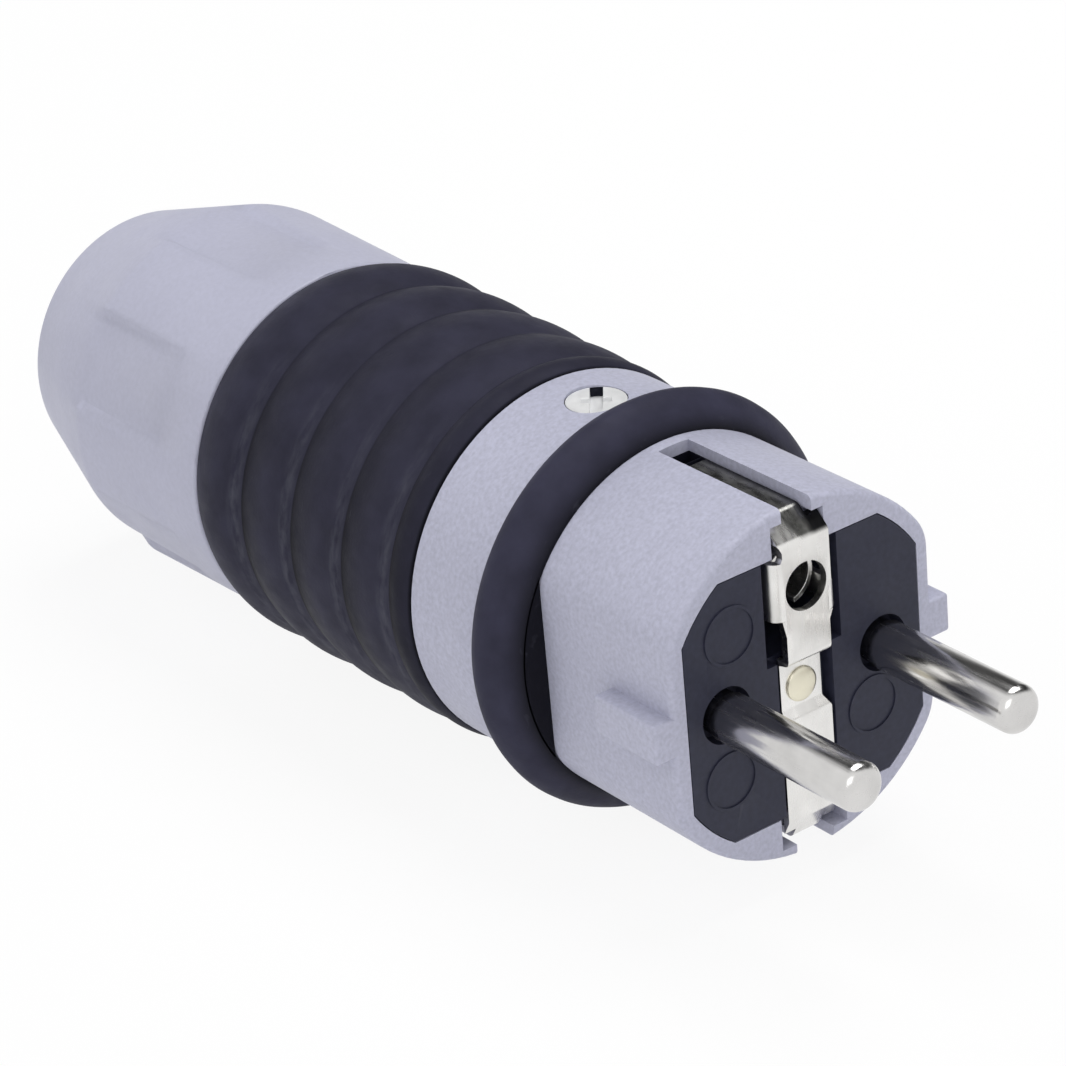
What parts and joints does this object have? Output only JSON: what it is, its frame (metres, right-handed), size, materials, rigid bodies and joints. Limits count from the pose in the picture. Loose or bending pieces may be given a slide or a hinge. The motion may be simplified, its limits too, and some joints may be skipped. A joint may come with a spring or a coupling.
{
  "type": "grounded plug",
  "caption": "Sealed rewirable mains plug: round pins, earth contacts on its face and in its grooves, rubber flange ring, ribbed rubber grip and a screw cap that clamps the cable.",
  "frame": {"origin": "centre of the contact face, midway between the two pins", "axes": "+Y along the body from the contact face to the cable end, so the pins point along -Y; +Z from the pin line towards the earth hole; +X to the right seen from the front"},
  "size_m": [0.0426, 0.131, 0.0426],
  "materials": {
    "housing_plastic": "fine even grain, pale cool grey",
    "black_rubber": "soft matt, slightly uneven",
    "carrier_plastic": "smooth matt",
    "inner_plastic": "smooth",
    "nickel_pin": "bright nickel plate",
    "nickel_strip": "bright nickel plate on folded sheet",
    "rivet_metal": "pale plated brass",
    "terminal_brass": "turned brass",
    "screw_steel": "zinc-plated steel"
  },
  "bodies": {
    "root": {"body_shell": "housing_plastic", "flange_seal": "black_rubber", "grip_sleeve": "black_rubber", "gland_cap": "housing_plastic", "cap_seal": "black_rubber", "clamp_collet": "inner_plastic", "cable_grommet": "black_rubber", "thrust_washer": "inner_plastic", "contact_carrier": "carrier_plastic", "terminal_cover": "inner_plastic", "cover_screw_left": "screw_steel", "cover_screw_right": "screw_steel", "pin_left": "nickel_pin", "pin_right": "nickel_pin", "terminal_screw_left": "screw_steel", "terminal_screw_right": "screw_steel", "earth_strip": "nickel_strip", "earth_sleeve": "nickel_strip", "earth_rivet": "rivet_metal", "earth_terminal": "terminal_brass", "earth_terminal_screw": "screw_steel", "housing_screw": "screw_steel", "housing_nut": "screw_steel"}
  },
  "joints": []
}
